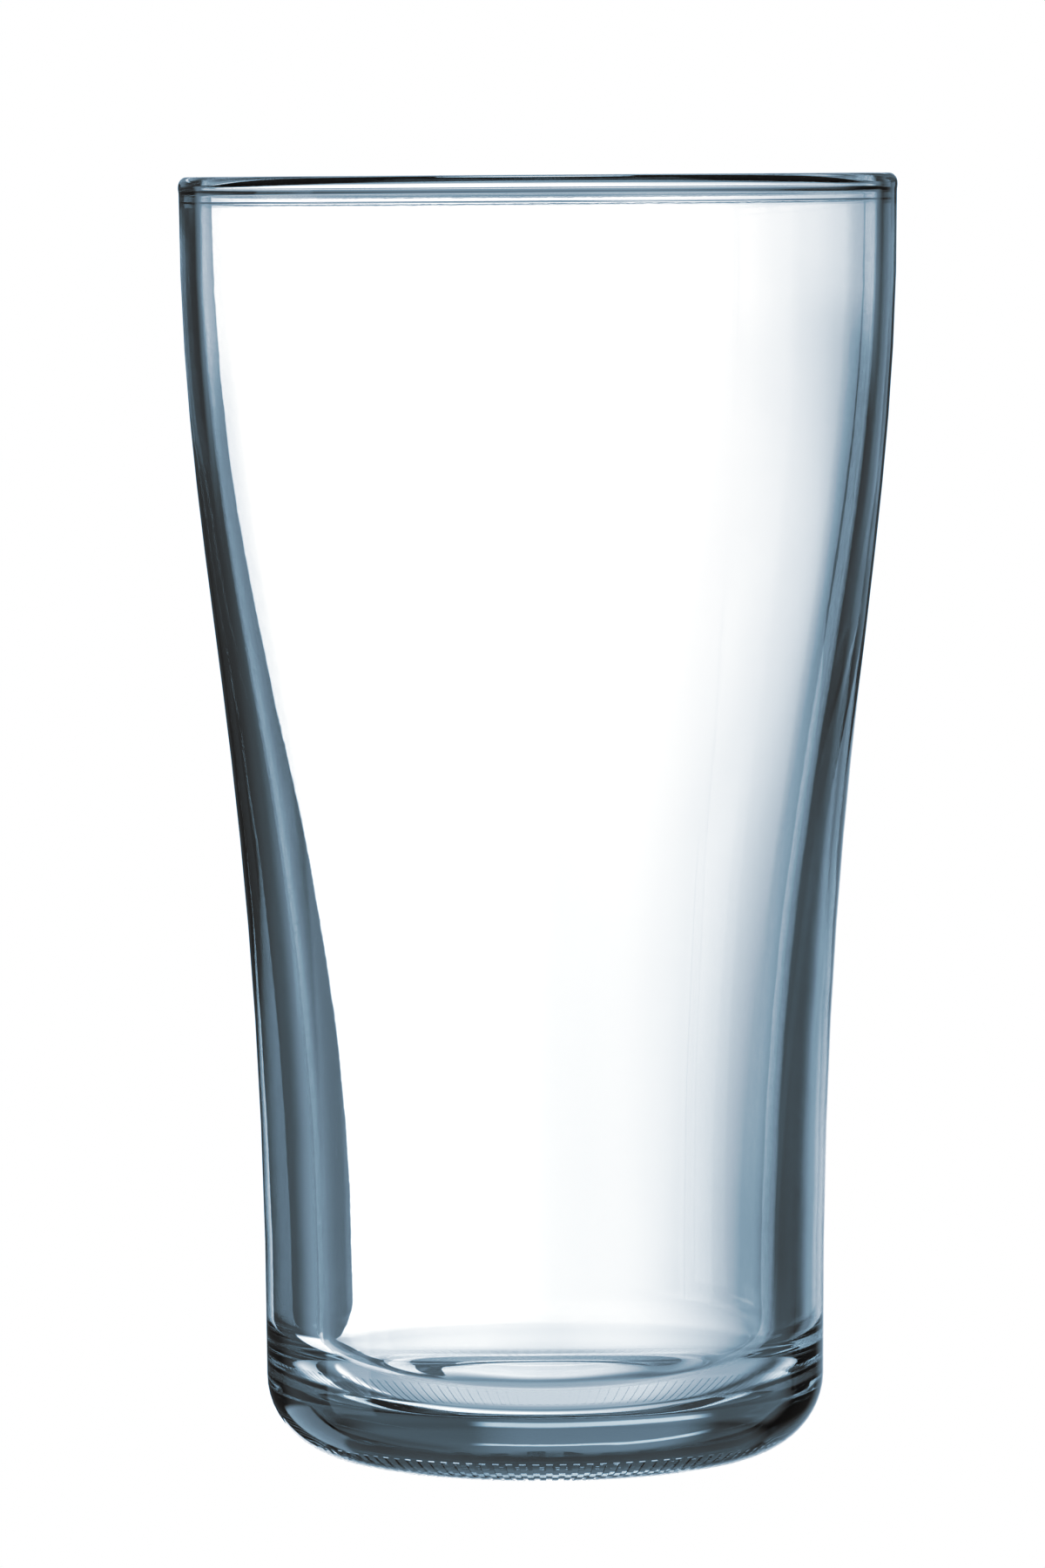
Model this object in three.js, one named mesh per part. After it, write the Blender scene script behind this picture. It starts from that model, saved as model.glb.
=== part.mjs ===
// A straight-sided pint tumbler that flares to its rim, pressed and blown from
// one gob of toughened soda-lime glass. Millimetres, +Z up. The origin is the
// middle of the plane that the glass stands on.
//
// The glass is one solid of revolution, so one closed outline makes all of it:
// up the outside, over the rim, down the inside and back along the underside.

import * as THREE from 'three';

// Overall size
const HEIGHT = 158.1;            // standing plane to the top of the rim
const RIM_RADIUS = 44.2;         // outside of the rim
const FOOT_RADIUS = 34.5;        // outside of the straight lower wall

// Outside wall: plumb at the heel, plumb again at the rim, flaring in between
const HEEL_WIDTH = 10.6;         // how far the rounded heel comes in
const HEEL_HEIGHT = 10.1;        // how far it goes up
const OUTSIDE_LOWER_PULL = 81.1; // length of the curve's upright start
const OUTSIDE_UPPER_PULL = 49.4; // length of its upright finish

// Inside wall: thick at the foot, thin below the rim
const RIM_WALL = 2.5;            // wall thickness just below the rim's bead
const BORE_RADIUS = 28.5;        // inside of the lower wall
const INSIDE_START = 17.3;       // height where the wall leaves the floor's fillet
const INSIDE_LOWER_PULL = 63.3;
const INSIDE_UPPER_PULL = 49.5;

// Fire-polished bead that finishes the rim
const BEAD_WIDTH = 2.9;
const BEAD_OUTER_DROP = 1.3;      // height of its rounding on the outside
const BEAD_INNER_DROP = 1.7;      // and on the inside
const NECK_DROP = 3.6;            // where its inside has run into the wall

// Floor and underside
const FLOOR_HEIGHT = 8.2;        // inside floor, above the standing plane
const FLOOR_FILLET_WIDTH = 8.6;  // hollow corner between floor and wall
const PUNT_DEPTH = 1.6;          // hollow of the underside
const PUNT_FLAT_RADIUS = 8;      // flat middle of the hollow
const STANDING_INNER_RADIUS = 21.5;

// Facets
const SIDES = 64;                // around the axis; a multiple of 4
const WALL_STEPS = 18;
const HEEL_STEPS = 8;
const BEAD_STEPS = 4;            // in each quarter of the bead
const NECK_STEPS = 3;
const FILLET_STEPS = 7;
const PUNT_STEPS = 5;

const GLASS_COLOUR = 0xdce9ee;

/** A quarter of an ellipse about (r, z), from one angle to another in degrees. */
function quarter(r, z, halfWidth, halfHeight, fromDegrees, toDegrees) {
  const radians = THREE.MathUtils.degToRad;
  return new THREE.EllipseCurve(
    r, z, halfWidth, halfHeight,
    radians(fromDegrees), radians(toDegrees), toDegrees < fromDegrees,
  );
}

/** A wall line that stands upright at both ends, at radius r0 low and r1 high. */
function wallLine(r0, z0, lowerPull, r1, z1, upperPull) {
  return new THREE.CubicBezierCurve(
    new THREE.Vector2(r0, z0),
    new THREE.Vector2(r0, z0 + lowerPull),
    new THREE.Vector2(r1, z1 - upperPull),
    new THREE.Vector2(r1, z1),
  );
}

/** The closed half-section, from the axis under the foot to the axis above it. */
function tumblerOutline() {
  const beadHalfWidth = BEAD_WIDTH / 2;
  const beadCrown = RIM_RADIUS - beadHalfWidth;
  const outsideEnd = HEIGHT - BEAD_OUTER_DROP;
  const beadInsideEnd = HEIGHT - BEAD_INNER_DROP;
  const insideEnd = HEIGHT - NECK_DROP;
  const boreTop = RIM_RADIUS - RIM_WALL;
  const neckPull = (NECK_DROP - BEAD_INNER_DROP) / 2;
  const puntMiddle = (PUNT_FLAT_RADIUS + STANDING_INNER_RADIUS) / 2;

  const puntSlope = new THREE.CubicBezierCurve(
    new THREE.Vector2(PUNT_FLAT_RADIUS, PUNT_DEPTH),
    new THREE.Vector2(puntMiddle, PUNT_DEPTH),
    new THREE.Vector2(puntMiddle, 0),
    new THREE.Vector2(STANDING_INNER_RADIUS, 0),
  );
  const heel = quarter(FOOT_RADIUS - HEEL_WIDTH, HEEL_HEIGHT, HEEL_WIDTH, HEEL_HEIGHT, -90, 0);
  const outside = wallLine(
    FOOT_RADIUS, HEEL_HEIGHT, OUTSIDE_LOWER_PULL, RIM_RADIUS, outsideEnd, OUTSIDE_UPPER_PULL,
  );
  const beadOutside = quarter(beadCrown, outsideEnd, beadHalfWidth, BEAD_OUTER_DROP, 0, 90);
  const beadInside = quarter(beadCrown, beadInsideEnd, beadHalfWidth, BEAD_INNER_DROP, 90, 180);
  const neck = wallLine(
    boreTop, insideEnd, neckPull, RIM_RADIUS - BEAD_WIDTH, beadInsideEnd, neckPull,
  );
  const inside = wallLine(
    BORE_RADIUS, INSIDE_START, INSIDE_LOWER_PULL, boreTop, insideEnd, INSIDE_UPPER_PULL,
  );
  const floorFillet = quarter(
    BORE_RADIUS - FLOOR_FILLET_WIDTH, INSIDE_START,
    FLOOR_FILLET_WIDTH, INSIDE_START - FLOOR_HEIGHT, 0, -90,
  );

  return [
    new THREE.Vector2(0, PUNT_DEPTH),
    ...puntSlope.getPoints(PUNT_STEPS),
    ...heel.getPoints(HEEL_STEPS),
    ...outside.getPoints(WALL_STEPS).slice(1),
    ...beadOutside.getPoints(BEAD_STEPS).slice(1),
    ...beadInside.getPoints(BEAD_STEPS).slice(1),
    ...neck.getPoints(NECK_STEPS).reverse().slice(1),
    ...inside.getPoints(WALL_STEPS).reverse().slice(1),
    ...floorFillet.getPoints(FILLET_STEPS).slice(1),
    new THREE.Vector2(0, FLOOR_HEIGHT),
  ];
}

/** The whole glass: LatheGeometry turns about Y, so it is stood up onto Z. */
function tumbler() {
  const geometry = new THREE.LatheGeometry(tumblerOutline(), SIDES);
  geometry.rotateX(Math.PI / 2);
  const material = new THREE.MeshStandardMaterial({
    color: GLASS_COLOUR,
    roughness: 0.03,
    metalness: 0,
    transparent: true,
    opacity: 0.35,
  });
  const mesh = new THREE.Mesh(geometry, material);
  mesh.name = 'tumbler';
  return mesh;
}

const pintGlass = new THREE.Group();
pintGlass.add(tumbler());

export default pintGlass;
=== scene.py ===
"""Studio scene of a clear pint tumbler.

The tumbler is one smooth shell of glass, drawn as a half-section and spun
round the axis. It takes the place of the plain faceted body in the frame.
Lengths are in metres, +Z is up, and the glass stands on the plane Z = 0.
"""

import logging
from dataclasses import dataclass
from enum import Enum
from math import atan2, degrees, hypot, pi, radians

import bpy
from mathutils import Matrix, Vector
from mathutils.geometry import interpolate_bezier


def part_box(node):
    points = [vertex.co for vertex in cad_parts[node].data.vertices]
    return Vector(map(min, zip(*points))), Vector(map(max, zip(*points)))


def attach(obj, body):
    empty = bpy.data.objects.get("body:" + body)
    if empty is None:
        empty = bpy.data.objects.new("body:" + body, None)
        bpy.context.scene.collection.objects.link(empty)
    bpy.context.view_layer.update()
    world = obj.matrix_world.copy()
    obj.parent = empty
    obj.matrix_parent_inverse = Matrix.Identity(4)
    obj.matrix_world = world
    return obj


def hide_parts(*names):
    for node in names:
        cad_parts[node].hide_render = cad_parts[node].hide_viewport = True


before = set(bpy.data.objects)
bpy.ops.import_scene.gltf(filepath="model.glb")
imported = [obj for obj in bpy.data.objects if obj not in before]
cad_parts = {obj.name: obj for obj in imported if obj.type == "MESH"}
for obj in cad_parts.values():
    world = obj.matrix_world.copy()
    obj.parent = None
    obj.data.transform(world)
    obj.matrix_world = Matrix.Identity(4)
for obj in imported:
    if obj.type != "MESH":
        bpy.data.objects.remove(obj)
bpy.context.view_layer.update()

MM = 0.001
CLEARANCE = 0.001 * MM  # keeps the shell inside the frame's box
ROUND = 0.5523          # handle length that makes a quarter arc out of one curve
NODE = "tumbler"
WHITE = (1.0, 1.0, 1.0)
OPAQUE = 1.0            # the fourth part of a colour
RED, BLUE = 0, 2        # numbers of the colour curves
MIX_BELOW, MIX_ABOVE = 2, 3     # the mix node's two number inputs

Socket = bpy.types.NodeSocket
Pair = tuple[float, float]

log = logging.getLogger("pint_tumbler")


# ---------------------------------------------------------------- helpers

def deselect_all() -> None:
    """Leaves object mode with nothing selected."""
    if bpy.context.mode != "OBJECT":
        bpy.ops.object.mode_set(mode="OBJECT")
    bpy.ops.object.select_all(action="DESELECT")


def select_only(piece: bpy.types.Object) -> None:
    """Makes one object the selected and active one."""
    deselect_all()
    piece.select_set(True)
    bpy.context.view_layer.objects.active = piece


class Nodes:
    """Builds one node tree, a node at a time."""

    def __init__(self, tree: bpy.types.NodeTree) -> None:
        """Empties the tree and starts on it.

        Args:
            tree: the node tree to fill.
        """
        self.tree = tree
        tree.nodes.clear()

    def add(self, kind: str, inputs: dict | None = None, **settings) -> bpy.types.Node:
        """Adds a node.

        Args:
            kind: the node's type name.
            inputs: values, or sockets to link from, by input name or number.
            settings: the node's own properties.

        Returns:
            The new node.
        """
        node = self.tree.nodes.new(kind)
        for name, value in settings.items():
            setattr(node, name, value)
        for name, value in (inputs or {}).items():
            if isinstance(value, Socket):
                self.tree.links.new(value, node.inputs[name])
            else:
                node.inputs[name].default_value = value
        return node

    def math(self, operation: str, first: Socket | float, second: Socket | float = 0.0) -> Socket:
        """Adds a sum on numbers.

        Args:
            operation: the Math node's operation.
            first: a number or a socket.
            second: a number or a socket.

        Returns:
            The result's socket.
        """
        node = self.add("ShaderNodeMath", {0: first, 1: second}, operation=operation)
        return node.outputs[0]


# ---------------------------------------------------------------- finishes

@dataclass(frozen=True)
class ClearGlass:
    """Toughened soda-lime glass: clear, fire polished and very slightly uneven."""

    name: str = "clear_toughened_glass"
    refraction: float = 1.52
    polish: float = 0.004                 # lowest roughness
    haze: float = 0.018                   # roughness added in the dullest patches
    ripple_size: float = 22 * MM          # long waves left by the mould
    ripple_height: float = 0.05 * MM
    peel_size: float = 1.6 * MM           # orange peel of the cooled skin
    peel_height: float = 0.0012 * MM
    ripple_detail: float = 1.0            # finer layers added to each relief
    peel_detail: float = 3.0
    layer_strength: float = 0.5           # strength of each finer layer
    thick_colour: tuple = (0.40, 0.46, 0.48)
    thick_density: float = 18.0           # per metre of glass

    def material(self) -> bpy.types.Material:
        """Builds the glass.

        Returns:
            The material.
        """
        material = bpy.data.materials.new(self.name)
        material.use_nodes = True
        nodes = Nodes(material.node_tree)
        place = nodes.add("ShaderNodeTexCoord").outputs["Object"]
        ripple = self._noise(nodes, place, self.ripple_size, self.ripple_detail)
        peel = self._noise(nodes, place, self.peel_size, self.peel_detail)
        relief = nodes.math(
            "ADD",
            nodes.math("MULTIPLY", ripple, self.ripple_height / self.peel_height),
            peel,
        )
        bump = nodes.add(
            "ShaderNodeBump", {"Strength": 1.0, "Distance": self.peel_height, "Height": relief},
        )
        dull = nodes.math("MULTIPLY_ADD", peel, self.haze)
        dull.node.inputs[2].default_value = self.polish
        shader = nodes.add("ShaderNodeBsdfPrincipled", {
            "Base Color": (*WHITE, OPAQUE),
            "Metallic": 0.0,
            "Roughness": dull,
            "IOR": self.refraction,
            "Transmission Weight": 1.0,
            "Normal": bump.outputs[0],
        })
        body = nodes.add("ShaderNodeVolumeAbsorption", {
            "Color": (*self.thick_colour, OPAQUE),
            "Density": self.thick_density,
        })
        nodes.add("ShaderNodeOutputMaterial", {
            "Surface": shader.outputs[0],
            "Volume": body.outputs[0],
        })
        return material

    def _noise(self, nodes: Nodes, place: Socket, size: float, detail: float) -> Socket:
        """Soft random relief.

        Args:
            nodes: the tree builder.
            place: the coordinates' socket.
            size: distance between bumps, in metres.
            detail: how many finer layers are added.

        Returns:
            The height's socket, from 0 to 1.
        """
        noise = nodes.add("ShaderNodeTexNoise", {
            "Vector": place, "Scale": 1.0 / size, "Detail": detail,
            "Roughness": self.layer_strength,
        })
        return noise.outputs["Fac"]


@dataclass(frozen=True)
class PlainEmission:
    """A surface that is evenly bright, for the floor, the backdrop and the flags."""

    name: str
    colour: tuple
    strength: float

    def material(self) -> bpy.types.Material:
        """Builds the emission.

        Returns:
            The material.
        """
        material = bpy.data.materials.new(self.name)
        material.use_nodes = True
        nodes = Nodes(material.node_tree)
        glow = nodes.add(
            "ShaderNodeEmission", {"Color": (*self.colour, OPAQUE), "Strength": self.strength},
        )
        nodes.add("ShaderNodeOutputMaterial", {"Surface": glow.outputs[0]})
        return material


# ---------------------------------------------------------------- the glass

@dataclass
class Knot:
    """One point of the half-section, with the curve's pull on each side of it."""

    radius: float
    height: float
    arrive: tuple = (0.0, 0.0)      # handle towards the point before, as (r, z)
    leave: tuple = (0.0, 0.0)       # handle towards the point after, as (r, z)

    def at(self, pull: tuple = (0.0, 0.0)) -> Vector:
        """The knot's place, or its handle's, in the XZ plane."""
        return Vector((self.radius + pull[0], 0.0, self.height + pull[1]))


@dataclass
class Tumbler:
    """The whole glass: one shell of revolution, with its moulded foot."""

    height: float
    rim_radius: float
    finish: ClearGlass
    foot_radius: float = 34.5 * MM
    heel_width: float = 10.6 * MM
    heel_height: float = 10.1 * MM
    outside_lower_pull: float = 81.1 * MM
    outside_upper_pull: float = 48.0 * MM
    lip_width: float = 1.0 * MM           # outer round of the lip
    lip_drop: float = 1.3 * MM
    lip_run: float = 1.22 * MM            # how far the lip's top runs inwards
    nose_width: float = 2.85 * MM         # thickest part, where the bead rounds over
    nose_drop: float = 1.35 * MM
    nose_round: float = 0.12 * MM
    nose_tail: float = 2.5                # how much longer the curve pulls under the nose
    waist_drop: float = 2.3 * MM
    waist_depth: float = 0.08 * MM
    rim_wall: float = 2.5 * MM
    neck_drop: float = 2.3 * MM           # where the bead has run out into the wall
    crease_drop: float = 3.12 * MM        # fine groove round the wall under the bead
    crease_width: float = 0.11 * MM
    crease_depth: float = 0.09 * MM
    land_drop: float = 3.7 * MM
    bore_radius: float = 28.5 * MM
    inside_start: float = 17.3 * MM
    inside_lower_pull: float = 63.3 * MM
    inside_upper_pull: float = 49.5 * MM
    floor_height: float = 8.2 * MM
    fillet_width: float = 8.6 * MM
    plunger_radius: float = 6.7 * MM
    plunger_rise: float = 0.06 * MM
    punt_depth: float = 1.6 * MM
    punt_flat_radius: float = 8.0 * MM
    ring_inner_radius: float = 21.5 * MM
    rib_start: float = 21.7 * MM
    rib_end: float = 23.6 * MM
    rib_reach: float = 31.5 * MM          # how far the ribs run out on to the heel
    rib_depth: float = 0.16 * MM
    rib_height: float = 3.0 * MM          # the ribs stay below this height
    sides: int = 240
    curve_steps: int = 14                 # steps between one knot and the next
    merge_distance: float = 0.002 * MM
    smooth_angle: float = 35.0            # degrees: sharper edges than this stay hard
    name: str = "tumbler_glass"

    def build(self) -> bpy.types.Object:
        """Makes the finished glass.

        Returns:
            The glass, at the origin, dressed in its finish.
        """
        piece = self._draw_half_section()
        self._spin(piece)
        self._cut_knurl(piece)
        piece.data.materials.clear()
        piece.data.materials.append(self.finish.material())
        return piece

    def _knots(self) -> list[Knot]:
        """The half-section's knots, from the axis under the foot to the axis above it."""
        return [*self._foot(), *self._lip(), *self._crease(), *self._inside()]

    def _foot(self) -> list[Knot]:
        """Underside, standing ring, heel and outer wall up to the waist."""
        slope = (self.ring_inner_radius - self.punt_flat_radius) / 2
        waist_pull = (self.waist_drop - self.lip_drop) / 2
        return [
            Knot(0.0, self.punt_depth),
            Knot(self.punt_flat_radius, self.punt_depth, leave=(slope, 0.0)),
            Knot(self.ring_inner_radius, 0.0, arrive=(-slope, 0.0)),
            Knot(self.rib_start, 0.0),
            Knot(self.rib_end, 0.0),
            Knot(self.foot_radius - self.heel_width, 0.0, leave=(ROUND * self.heel_width, 0.0)),
            Knot(self.foot_radius, self.heel_height,
                 arrive=(0.0, -ROUND * self.heel_height), leave=(0.0, self.outside_lower_pull)),
            Knot(self.rim_radius - self.waist_depth, self.height - self.waist_drop,
                 arrive=(0.0, -self.outside_upper_pull), leave=(0.0, waist_pull)),
        ]

    def outline(self) -> list[tuple]:
        """The outer wall's line from the table to the brim.

        Returns:
            Points as (radius, height), going up.
        """
        heel, waist = self._foot()[-2:]
        points = interpolate_bezier(
            heel.at(), heel.at(heel.leave), waist.at(waist.arrive), waist.at(), 2 * self.curve_steps,
        )
        line = [(point.x, point.z) for point in points]
        return [(self.foot_radius, 0.0), *line, (self.rim_radius, self.height)]

    def _lip(self) -> list[Knot]:
        """The bead: round outside, running inwards to a blunt nose, then out to the wall."""
        outer, top = self.rim_radius, self.height
        waist_pull = (self.waist_drop - self.lip_drop) / 2
        return [
            Knot(outer, top - self.lip_drop,
                 arrive=(0.0, -waist_pull), leave=(0.0, ROUND * self.lip_drop)),
            Knot(outer - self.lip_width, top,
                 arrive=(ROUND * self.lip_width, 0.0), leave=(-self.lip_run, 0.0)),
            Knot(outer - self.nose_width, top - self.nose_drop,
                 arrive=(0.0, self.nose_round), leave=(0.0, -self.nose_tail * self.nose_round)),
            Knot(outer - self.rim_wall, top - self.neck_drop,
                 arrive=(0.0, self.nose_tail * self.nose_round)),
        ]

    def _crease(self) -> list[Knot]:
        """The fine groove round the inner wall, and the plain land under it."""
        wall = self.rim_radius - self.rim_wall
        middle = self.height - self.crease_drop
        soft = self.crease_width / 3
        return [
            Knot(wall, middle + self.crease_width, leave=(0.0, -soft)),
            Knot(wall + self.crease_depth, middle, arrive=(0.0, soft), leave=(0.0, -soft)),
            Knot(wall, middle - self.crease_width, arrive=(0.0, soft)),
            Knot(wall, self.height - self.land_drop, leave=(0.0, -self.inside_upper_pull)),
        ]

    def _inside(self) -> list[Knot]:
        """The inner wall, the fillet, the floor and its plunger mark."""
        fillet_z = self.inside_start - self.floor_height
        floor_edge = self.bore_radius - self.fillet_width
        plunger = self.plunger_radius
        return [
            Knot(self.bore_radius, self.inside_start,
                 arrive=(0.0, self.inside_lower_pull), leave=(0.0, -ROUND * fillet_z)),
            Knot(floor_edge, self.floor_height,
                 arrive=(ROUND * self.fillet_width, 0.0), leave=(-plunger / 2, 0.0)),
            Knot(plunger, self.floor_height + self.plunger_rise,
                 arrive=(plunger / 2, 0.0), leave=(-plunger / 4, 0.0)),
            Knot(0.0, self.floor_height + self.plunger_rise / 4, arrive=(plunger / 2, 0.0)),
        ]

    def _draw_half_section(self) -> bpy.types.Object:
        """Draws the half-section as a curve in the XZ plane.

        Returns:
            The outline as an open run of mesh edges.
        """
        knots = self._knots()
        deselect_all()
        bpy.ops.curve.primitive_bezier_curve_add(location=(0.0, 0.0, 0.0))
        outline = bpy.context.object
        outline.name = self.name
        spline = outline.data.splines[0]
        spline.bezier_points.add(len(knots) - len(spline.bezier_points))
        for point, knot in zip(spline.bezier_points, knots):
            point.handle_left_type = point.handle_right_type = "FREE"
            point.co = knot.at()
            point.handle_left = knot.at(knot.arrive)
            point.handle_right = knot.at(knot.leave)
        spline.resolution_u = self.curve_steps
        select_only(outline)
        bpy.ops.object.convert(target="MESH")
        return bpy.context.object

    def _spin(self, piece: bpy.types.Object) -> None:
        """Turns the outline round the axis into one closed shell.

        Args:
            piece: the half-section.
        """
        select_only(piece)
        bpy.ops.object.mode_set(mode="EDIT")
        bpy.ops.mesh.select_all(action="SELECT")
        bpy.ops.mesh.spin(
            steps=self.sides, angle=2 * pi, center=(0.0, 0.0, 0.0), axis=(0.0, 0.0, 1.0),
        )
        bpy.ops.mesh.select_all(action="SELECT")
        bpy.ops.mesh.remove_doubles(threshold=self.merge_distance)
        bpy.ops.mesh.normals_make_consistent(inside=False)
        bpy.ops.object.mode_set(mode="OBJECT")

    def _cut_knurl(self, piece: bpy.types.Object) -> None:
        """Sinks every other sector of the ring and lower heel, which leaves short ribs.

        Args:
            piece: the spun shell.
        """
        select_only(piece)
        bpy.ops.object.mode_set(mode="EDIT")
        bpy.ops.mesh.select_all(action="DESELECT")
        bpy.ops.mesh.select_mode(type="FACE")
        bpy.ops.object.mode_set(mode="OBJECT")
        sector = 2 * pi / self.sides
        for face in piece.data.polygons:
            x, y, z = face.center
            radius = hypot(x, y)
            on_ring = self.rib_start < radius < self.rib_reach and z < self.rib_height
            face.select = on_ring and int((atan2(y, x) + pi) / sector) % 2 == 0
        bpy.ops.object.mode_set(mode="EDIT")
        bpy.ops.mesh.extrude_region_move(
            TRANSFORM_OT_translate={"value": (0.0, 0.0, self.rib_depth)},
        )
        bpy.ops.object.mode_set(mode="OBJECT")
        bpy.ops.object.shade_smooth_by_angle(angle=radians(self.smooth_angle))


# ---------------------------------------------------------------- the studio

class Fade(Enum):
    """How the edge of a screen fades, by the map range node's name for it."""

    EVEN = "LINEAR"
    SOFT = "SMOOTHSTEP"


@dataclass(frozen=True)
class Screen:
    """One bright or dark screen, as the glass sees it.

    Headings are degrees clockwise from +Y, seen from above. Rises are degrees
    above the horizon. A margin is how many degrees that edge takes to fade.
    """

    name: str
    level: float                          # brightness, where 1 is white
    heading: Pair | None = None           # None goes all the way round
    rise: Pair = (-90.0, 90.0)
    side_margins: Pair = (0.3, 0.3)
    rise_margins: Pair = (0.3, 0.3)
    fade: Fade = Fade.SOFT

    def over(self, nodes: Nodes, turn: Socket, climb: Socket, below: Socket | float) -> Socket:
        """Lays the screen over what is there already.

        Args:
            nodes: the tree builder.
            turn: the heading's socket, in degrees.
            climb: the rise's socket, in degrees.
            below: the brightness so far.

        Returns:
            The new brightness.
        """
        cover = self._between(nodes, climb, self.rise, self.rise_margins)
        if self.heading is not None:
            across = self._between(nodes, turn, self.heading, self.side_margins)
            cover = nodes.math("MULTIPLY", cover, across)
        mix = nodes.add("ShaderNodeMix", {
            "Factor": cover, MIX_BELOW: below, MIX_ABOVE: self.level,
        })
        mix.label = self.name
        return mix.outputs[0]

    def _between(self, nodes: Nodes, value: Socket, span: Pair, margins: Pair) -> Socket:
        """Gives one inside a span and nothing outside it.

        Args:
            nodes: the tree builder.
            value: the socket to test.
            span: where the span starts and ends.
            margins: how far inside each end the fade reaches.

        Returns:
            The result's socket, from 0 to 1.
        """
        edges = ((span[0], span[0] + margins[0]), (span[1], span[1] - margins[1]))
        rising, falling = (
            nodes.add("ShaderNodeMapRange", {"Value": value, "From Min": start, "From Max": end},
                      interpolation_type=self.fade.value).outputs[0]
            for start, end in edges
        )
        return nodes.math("MULTIPLY", rising, falling)


@dataclass(frozen=True)
class Surround:
    """The light that the glass gathers: bright and dark screens over a dark ground.

    The layout started from two least-squares fits of the brightness. It was
    then changed, and some of its numbers are still the fits'.
    """

    ground: float = 0.035
    screens: tuple = (
        Screen("ceiling", 0.12, None, (10, 91), rise_margins=(16, 0.1)),
        Screen("table", 0.50, None, (-91, -32), rise_margins=(0.1, 9)),
        Screen("table under the foot", 0.85, None, (-91, -46), rise_margins=(0.1, 20)),
        Screen("left low", 0.36, (-165, -36), (-32, 2), (40, 20), (10, 6)),
        Screen("left high", 0.80, (-130, -35), (-7, 6), (25, 6), (4, 4)),
        Screen("right high", 0.75, (34, 100), (-5, 8), (7, 25), (3, 4)),
        Screen("right low", 1.10, (50, 130), (-35, -5), (20, 25), (8, 8)),
        Screen("header", 0.34, (-30, 18), (0, 26), (12, 16), (2, 9)),
        Screen("header bar", 1.30, (-28, 13), (9.3, 12), (6, 6), (0.8, 0.8)),
        Screen("right header", 0.15, (8, 40), (2, 18), (4, 14), (2, 8)),
        Screen("right spill", 0.34, (0, 31), (-32, 3), (1, 13), (8, 3)),
        Screen("left window", 1.40, (-104, -76), (-24, 5), (3, 3), (3, 3)),
        Screen("near window", 1.25, (95, 175), (-36, 8), (36, 36), (10, 10)),
        Screen("low window", 1.40, (-62, -29), (-42, -16), (3, 3), (3, 3)),
        Screen("back window", 1.45, (-15, 15.5), (-37, 2.5), (0.3, 17), (14, 2), Fade.EVEN),
    )

    def apply(self, scene: bpy.types.Scene) -> None:
        """Makes the surround the scene's world.

        Args:
            scene: the scene to light.
        """
        world = bpy.data.worlds.new("surround")
        world.use_nodes = True
        scene.world = world
        nodes = Nodes(world.node_tree)
        direction = nodes.add("ShaderNodeTexCoord").outputs["Generated"]
        split = nodes.add("ShaderNodeSeparateXYZ", {0: direction})
        across = nodes.math("ARCTAN2", split.outputs[0], split.outputs[1])
        turn = nodes.math("MULTIPLY", across, degrees(1.0))
        climb = nodes.math("MULTIPLY", nodes.math("ARCSINE", split.outputs[2]), degrees(1.0))
        level = self.ground
        for screen in self.screens:
            level = screen.over(nodes, turn, climb, level)
        glow = nodes.add("ShaderNodeBackground", {"Color": level, "Strength": 1.0})
        nodes.add("ShaderNodeOutputWorld", {"Surface": glow.outputs[0]})


@dataclass(frozen=True)
class Flag:
    """A dark card that stands just behind the glass, on one side of it.

    Its inner edge leans with the side of the glass, so that the very edge of
    the glass reflects the card and is drawn dark. Only the glass sees it.
    """

    name: str
    side: int                             # -1 stands on the left, 1 on the right
    gap: float = 0.35 * MM
    width: float = 4.5 * MM
    behind: float = 12 * MM
    level: float = 0.055
    bend: float = 0.0                     # below this height it leans away from the glass
    lean: float = 0.35                    # how far it leans, per length below the bend

    def build(self, wall: list[tuple]) -> bpy.types.Object:
        """Makes the card.

        Args:
            wall: the glass's outline, as (radius, height) going up.

        Returns:
            The card.
        """
        deselect_all()
        bpy.ops.mesh.primitive_grid_add(
            x_subdivisions=1, y_subdivisions=len(wall) - 1, size=1.0, location=(0.0, 0.0, 0.0),
        )
        card = bpy.context.object
        card.name = self.name
        for number, vertex in enumerate(card.data.vertices):
            radius, height = wall[number // 2]
            away = self.lean * max(0.0, self.bend - height)
            across = radius + self.gap + away + (number % 2) * self.width
            vertex.co = (self.side * across, self.behind, height)
        card.data.materials.append(PlainEmission(self.name, WHITE, self.level).material())
        card.visible_camera = False
        card.visible_diffuse = False
        card.visible_shadow = False
        return card


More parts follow.
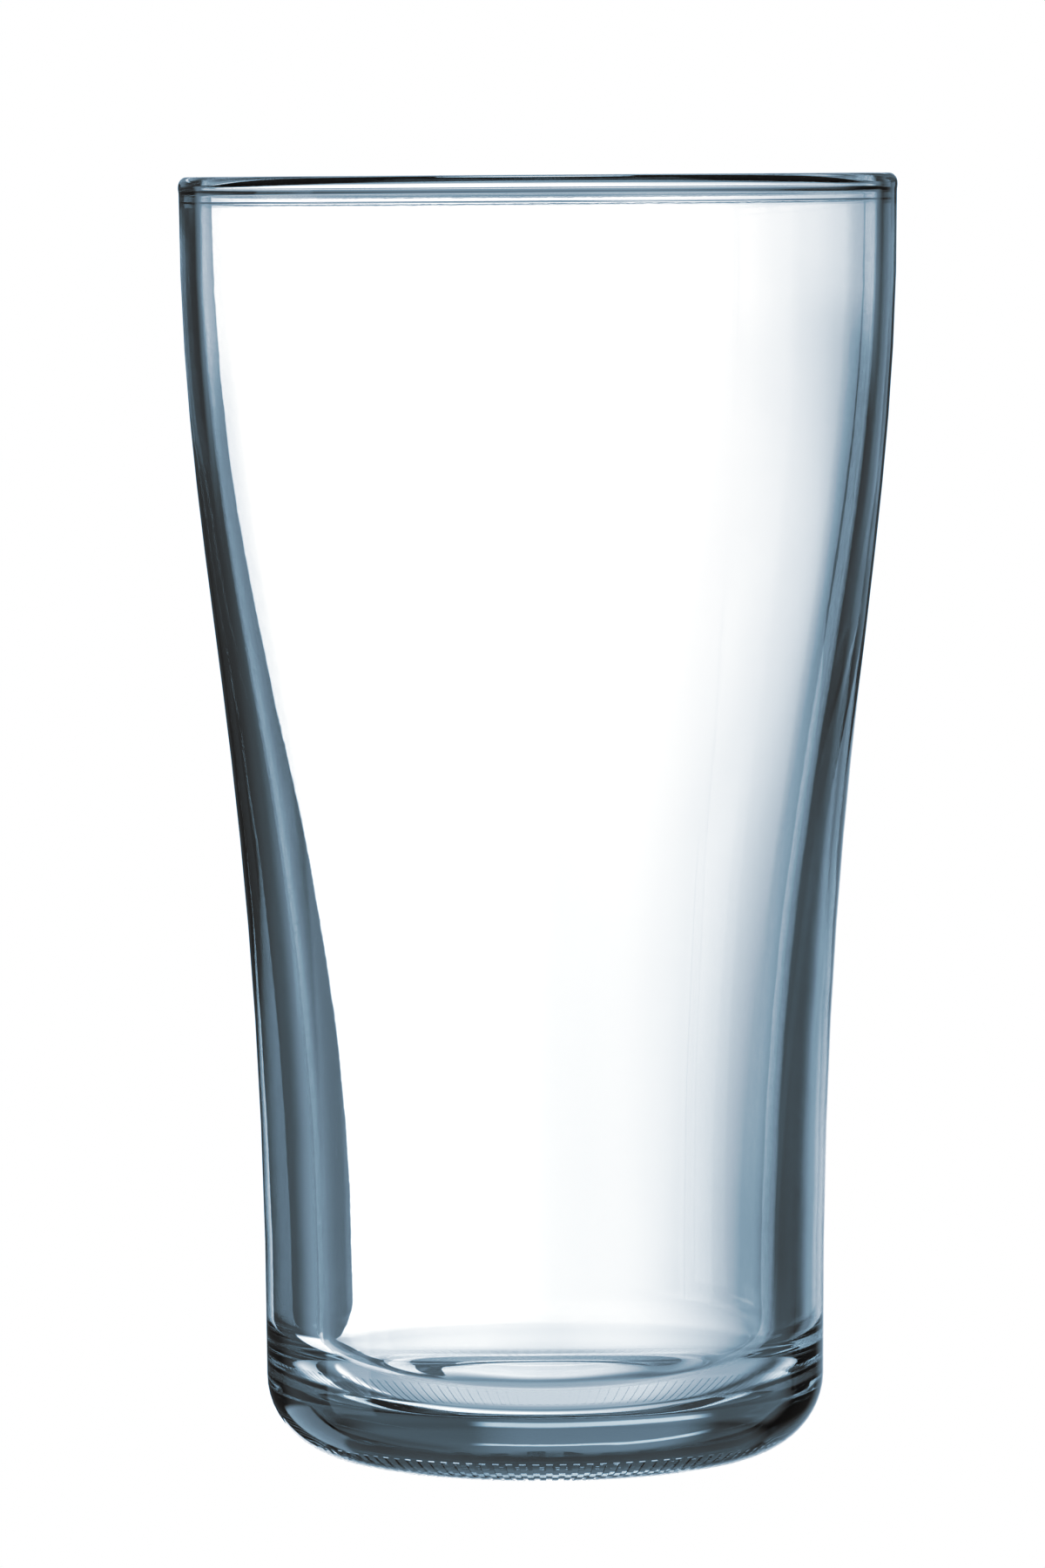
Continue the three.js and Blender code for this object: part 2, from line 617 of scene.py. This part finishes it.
@dataclass(frozen=True)
class Studio:
    """Pale floor and backdrop, and the two dark flags just behind the glass."""

    backdrop_radius: float = 6.0
    backdrop_segments: int = 48
    backdrop_rings: int = 24
    floor_radius: float = 3.0
    floor_sides: int = 96
    floor_drop: float = 0.02 * MM         # keeps the floor clear of the standing ring
    flags: tuple[Flag, ...] = (Flag("left_flag", -1), Flag("right_flag", 1, bend=100 * MM))

    def build(self, wall: list[tuple]) -> None:
        """Makes the floor, the backdrop and the flags.

        Args:
            wall: the glass's outline, as (radius, height) going up.
        """
        [flag.build(wall) for flag in self.flags]
        deselect_all()
        bpy.ops.mesh.primitive_circle_add(
            vertices=self.floor_sides, radius=self.floor_radius, fill_type="NGON",
            location=(0.0, 0.0, -self.floor_drop),
        )
        floor = bpy.context.object
        floor.name = "floor"
        floor.data.materials.append(PlainEmission("pale_floor", WHITE, 1.0).material())
        deselect_all()
        bpy.ops.mesh.primitive_uv_sphere_add(
            segments=self.backdrop_segments, ring_count=self.backdrop_rings,
            radius=self.backdrop_radius,
        )
        backdrop = bpy.context.object
        backdrop.name = "backdrop"
        backdrop.data.materials.append(
            PlainEmission("pale_backdrop", WHITE, 1.0).material(),
        )
        for shell in (floor, backdrop):
            shell.visible_transmission = False
            shell.visible_glossy = False
            shell.visible_diffuse = False
            shell.visible_shadow = False


@dataclass(frozen=True)
class Grade:
    """The picture's toning: greys lean to steel blue, black and white stay neutral.

    Each point is a pair of a brightness before the toning and after it.
    """

    red: tuple = ((0.03, 0.027), (0.1, 0.068), (0.21, 0.139), (0.33, 0.222),
                  (0.43, 0.343), (0.58, 0.51), (0.79, 0.752))
    blue: tuple = ((0.03, 0.032), (0.1, 0.124), (0.21, 0.275), (0.33, 0.418),
                   (0.43, 0.512), (0.58, 0.645), (0.79, 0.828))

    def apply(self, scene: bpy.types.Scene) -> None:
        """Sets the scene's view to the toning.

        Args:
            scene: the scene to set.
        """
        view = scene.view_settings
        view.view_transform = "Standard"
        view.use_curve_mapping = True
        curves = view.curve_mapping.curves
        for channel, points in ((RED, self.red), (BLUE, self.blue)):
            for before, after in points:
                curves[channel].points.new(before, after)
        view.curve_mapping.update()


@dataclass(frozen=True)
class ProductCamera:
    """A long lens, level with the rim, aimed slightly down. Angles are in degrees."""

    distance: float = 1055.8 * MM
    height: float = 158.45 * MM
    lens: float = 196.76                  # millimetres, as is the film's width
    film: float = 36.0
    nearest: float = 10 * MM              # nothing closer than this is drawn
    tilt_down: float = 4.084
    swing_left: float = 0.128
    roll: float = 0.387

    def place(self, scene: bpy.types.Scene) -> None:
        """Adds the camera and makes it the scene's.

        Args:
            scene: the scene to look at.
        """
        deselect_all()
        bpy.ops.object.camera_add(location=(0.0, -self.distance, self.height))
        camera = bpy.context.object
        camera.name = "camera"
        camera.data.lens = self.lens
        camera.data.sensor_width = self.film
        camera.data.clip_start = self.nearest
        turn = Matrix.Rotation(radians(self.swing_left), 4, "Z")
        tilt = Matrix.Rotation(radians(90.0 - self.tilt_down), 4, "X")
        roll = Matrix.Rotation(radians(-self.roll), 4, "Z")
        camera.matrix_world = Matrix.Translation(camera.location) @ turn @ tilt @ roll
        scene.camera = camera


@dataclass(frozen=True)
class Bounces:
    """How often light may be turned before it is given up, in all and by kind."""

    total: int = 24
    through_glass: int = 20
    off_glass: int = 12

    def apply(self, scene: bpy.types.Scene) -> None:
        """Sets the scene's limits."""
        scene.cycles.max_bounces = self.total
        scene.cycles.transmission_bounces = self.through_glass
        scene.cycles.glossy_bounces = self.off_glass


# ---------------------------------------------------------------- assembly


def main() -> None:
    """Builds the glass and its studio."""
    logging.basicConfig(level=logging.INFO)
    scene = bpy.context.scene
    ProductCamera().place(scene)
    _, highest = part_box(NODE)
    tumbler = Tumbler(height=highest[2], rim_radius=highest[0] - CLEARANCE, finish=ClearGlass())
    piece = tumbler.build()
    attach(piece, "root")
    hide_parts(NODE)
    log.info("%s: %d faces", piece.name, len(piece.data.polygons))
    Studio().build(tumbler.outline())
    Surround().apply(scene)
    Grade().apply(scene)
    Bounces().apply(scene)


if __name__ == "__main__":
    main()
